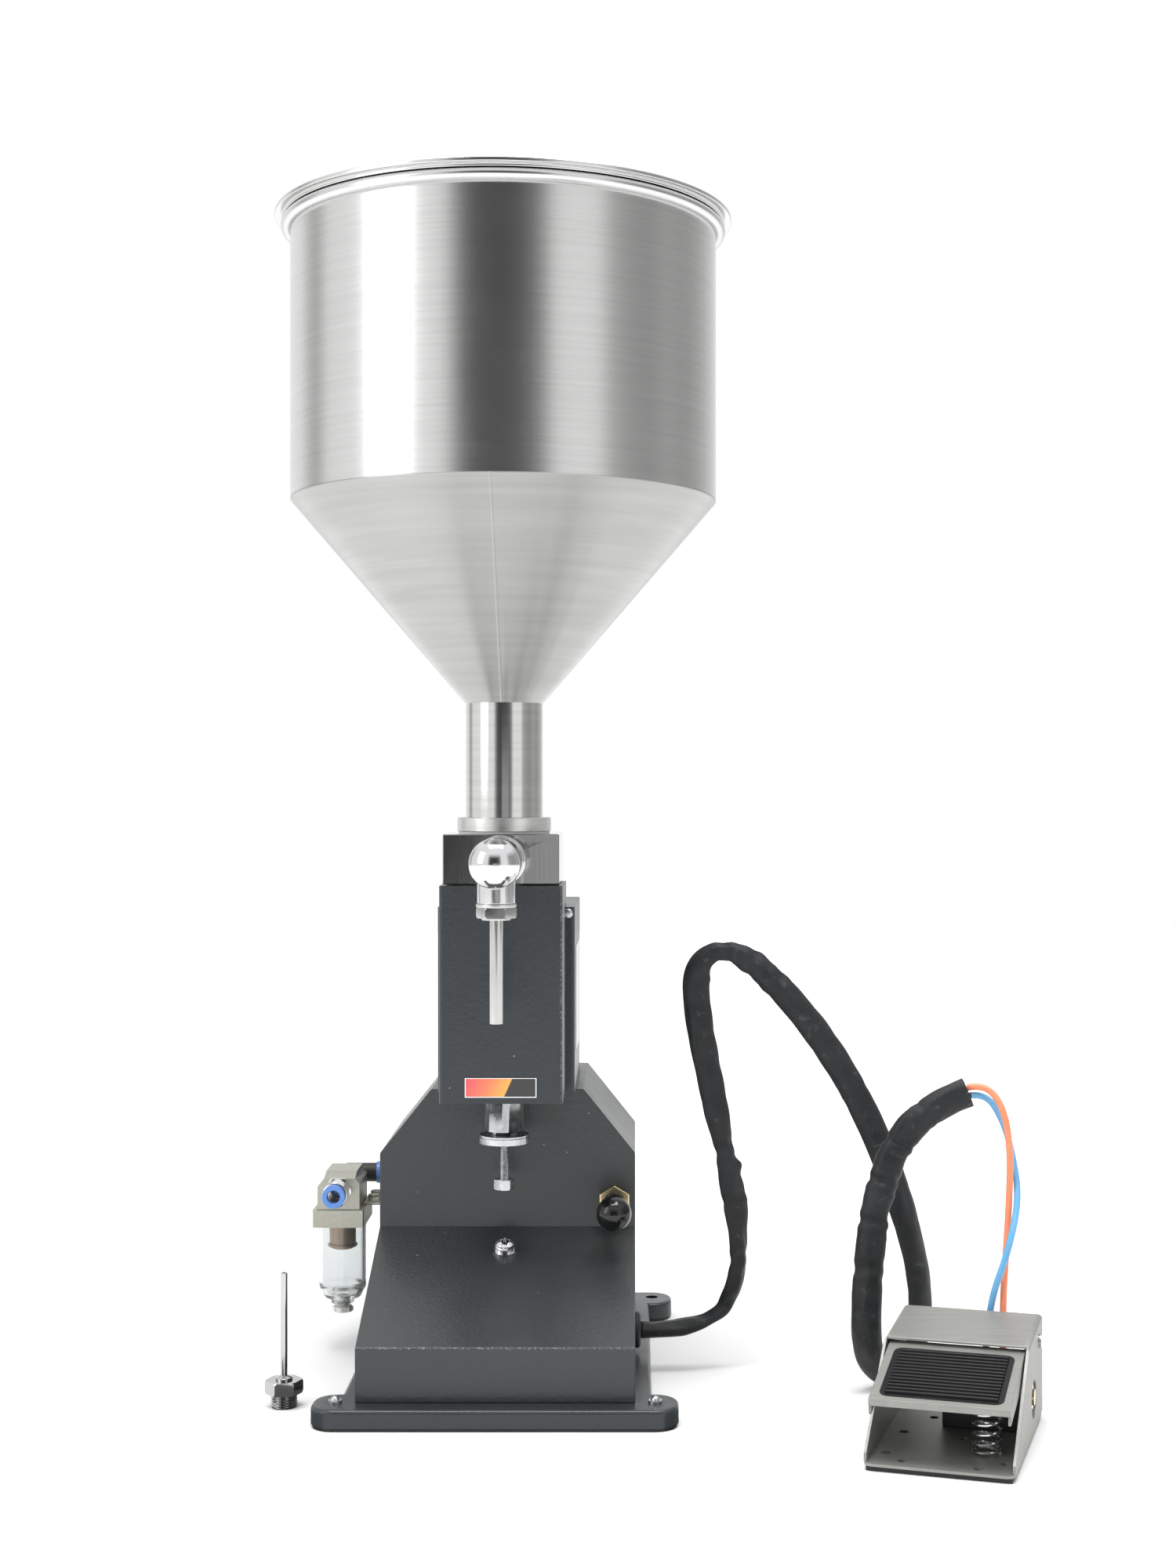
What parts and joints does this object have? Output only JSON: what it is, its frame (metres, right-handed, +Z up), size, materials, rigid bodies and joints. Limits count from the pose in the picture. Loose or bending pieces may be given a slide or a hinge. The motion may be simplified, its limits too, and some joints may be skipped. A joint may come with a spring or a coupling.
{
  "type": "piston liquid filler",
  "caption": "Bench-top pneumatic piston filler: conical steel hopper on a valve block, air-driven filling piston with stroke screw, front nozzle, foot pedal.",
  "frame": {"origin": "On the bench under the middle of the base plate", "axes": "+Z up, +Y to the rear, +X to the right of a person facing the machine"},
  "size_m": [0.4566, 0.3775, 0.7389],
  "materials": {
    "grey_paint": "dark grey hammer-finish enamel",
    "base_paint": "dark grey hammer-finish enamel",
    "stainless_brushed": "brushed",
    "stainless_polished": "polished",
    "chrome_plate": "polished chrome",
    "zinc_plate": "bright zinc plating",
    "pedal_nickel": "satin nickel",
    "cast_alloy": "bead-blasted, lacquered",
    "black_rubber": "matt",
    "white_ptfe": "matt",
    "black_gloss": "gloss",
    "brass_gold": "bright",
    "bronze_filter": "sintered",
    "clear_bowl": "clear polycarbonate",
    "blue_plastic": "gloss",
    "black_sleeve": "matt woven sleeving",
    "orange_tube": "translucent polyurethane",
    "blue_tube": "translucent polyurethane",
    "valve_black": "matt",
    "plate_print": "printed vinyl",
    "alloy_tube": "clear anodised"
  },
  "bodies": {
    "frame": {"floor_mats": "black_rubber", "base_plate": "base_paint", "base_box": "grey_paint", "rear_covers": "grey_paint", "column_box": "grey_paint", "front_casing": "grey_paint", "fasteners": "zinc_plate", "tray_screw": "chrome_plate", "name_plates": "plate_print", "valve_block": "stainless_polished", "product_gaskets": "white_ptfe", "hopper_neck": "stainless_polished", "hopper_cone": "stainless_brushed", "hopper_shell": "stainless_brushed", "discharge_elbow": "chrome_plate", "outlet_cap": "chrome_plate", "filling_nozzle": "stainless_polished", "poppet_guides": "stainless_polished", "inlet_spring": "stainless_polished", "outlet_spring": "stainless_polished", "fill_cylinder": "stainless_polished", "cylinder_tube": "alloy_tube", "cylinder_head": "alloy_tube", "cylinder_foot": "zinc_plate", "hand_valve_body": "brass_gold", "hand_valve_nut": "brass_gold", "main_air_valve": "alloy_tube", "filter_head": "cast_alloy", "filter_bracket": "zinc_plate", "inlet_fitting": "chrome_plate", "outlet_fitting": "chrome_plate", "hose_gland": "black_rubber", "hose_sleeve": "black_sleeve", "tube_orange": "orange_tube", "tube_blue": "blue_tube", "pedal_base": "pedal_nickel", "pedal_cover": "pedal_nickel", "pedal_spring": "chrome_plate", "foot_valve": "valve_black", "pivot_pin": "zinc_plate", "pedal_fittings": "brass_gold"},
    "lid": {"hopper_lid": "stainless_brushed", "lid_knob": "black_gloss"},
    "spare": {"spare_nozzle": "stainless_polished"},
    "inlet_valve": {"inlet_poppet": "stainless_polished"},
    "outlet_valve": {"outlet_poppet": "stainless_polished"},
    "piston": {"fill_piston": "stainless_polished", "piston_seals": "black_rubber", "piston_rod": "stainless_polished"},
    "stop": {"stroke_stop": "zinc_plate"},
    "screw": {"stroke_screw": "zinc_plate"},
    "nut": {"lock_nut": "zinc_plate"},
    "hand_valve": {"hand_valve_knob": "black_gloss"},
    "bowl": {"filter_bowl": "clear_bowl", "filter_element": "bronze_filter"},
    "drain": {"filter_drain": "clear_bowl"},
    "release_ring": {"inlet_ring": "blue_plastic"},
    "tread": {"pedal_tread": "pedal_nickel", "tread_pad": "black_rubber"},
    "plunger": {"valve_plunger": "stainless_polished"}
  },
  "joints": [
    {"name": "lid_lift", "type": "slide", "parent": "frame", "child": "lid", "axis": [0, 0, 1], "range_m": [0, 0.15]},
    {"name": "spare_lift", "type": "slide", "parent": "frame", "child": "spare", "axis": [0, 0, 1], "range_m": [0, 0.1]},
    {"name": "inlet_valve_travel", "type": "slide", "parent": "frame", "child": "inlet_valve", "axis": [0, 0, -1], "range_m": [0, 0.0035], "stiffness_N_per_m": 400, "springref_m": -0.003, "deforming": ["inlet_spring"]},
    {"name": "outlet_valve_travel", "type": "slide", "parent": "frame", "child": "outlet_valve", "axis": [0, -1, 0], "range_m": [0, 0.005], "stiffness_N_per_m": 300, "springref_m": -0.003, "deforming": ["outlet_spring"]},
    {"name": "piston_stroke", "type": "slide", "parent": "frame", "child": "piston", "axis": [0, 0, 1], "range_m": [-0.04, 0]},
    {"name": "stop_travel", "type": "slide", "parent": "frame", "child": "stop", "axis": [0, 0, 1], "range_m": [0, 0.018]},
    {"name": "screw_turn", "type": "hinge", "parent": "stop", "child": "screw", "pos_m": [0, -0.04, 0.12], "axis": [0, 0, 1], "range_deg": [0, 6480]},
    {"name": "lock_nut_turn", "type": "hinge", "parent": "frame", "child": "nut", "pos_m": [0, -0.04, 0.15], "axis": [0, 0, 1], "range_deg": [-180, 0]},
    {"name": "hand_valve_push", "type": "slide", "parent": "frame", "child": "hand_valve", "axis": [0, 1, 0], "range_m": [0, 0.006]},
    {"name": "bowl_turn", "type": "hinge", "parent": "frame", "child": "bowl", "pos_m": [-0.1095, 0.035, 0.06], "axis": [0, 0, 1], "range_deg": [-45, 0]},
    {"name": "drain_push", "type": "slide", "parent": "bowl", "child": "drain", "axis": [0, 0, 1], "range_m": [0, 0.0015], "stiffness_N_per_m": 300, "springref_m": -0.002},
    {"name": "release_push", "type": "slide", "parent": "frame", "child": "release_ring", "axis": [0, 1, 0], "range_m": [0, 0.0015], "stiffness_N_per_m": 500, "springref_m": -0.001},
    {"name": "pedal_press", "type": "hinge", "parent": "frame", "child": "tread", "pos_m": [0.27365, -0.11679, 0.048], "axis": [0.9563, -0.2924, 0], "range_deg": [0, 8], "stiffness_Nm_per_rad": 6, "springref_deg": -6.88, "deforming": ["pedal_spring"]},
    {"name": "plunger_travel", "type": "slide", "parent": "frame", "child": "plunger", "axis": [0, 0, -1], "range_m": [0, 0.0045]}
  ],
  "couplings": [
    {"joint": "screw_turn", "follows": "stop_travel", "rad_per_m": 6283.2},
    {"joint": "plunger_travel", "follows": "pedal_press", "m_per_rad": 0.028}
  ]
}
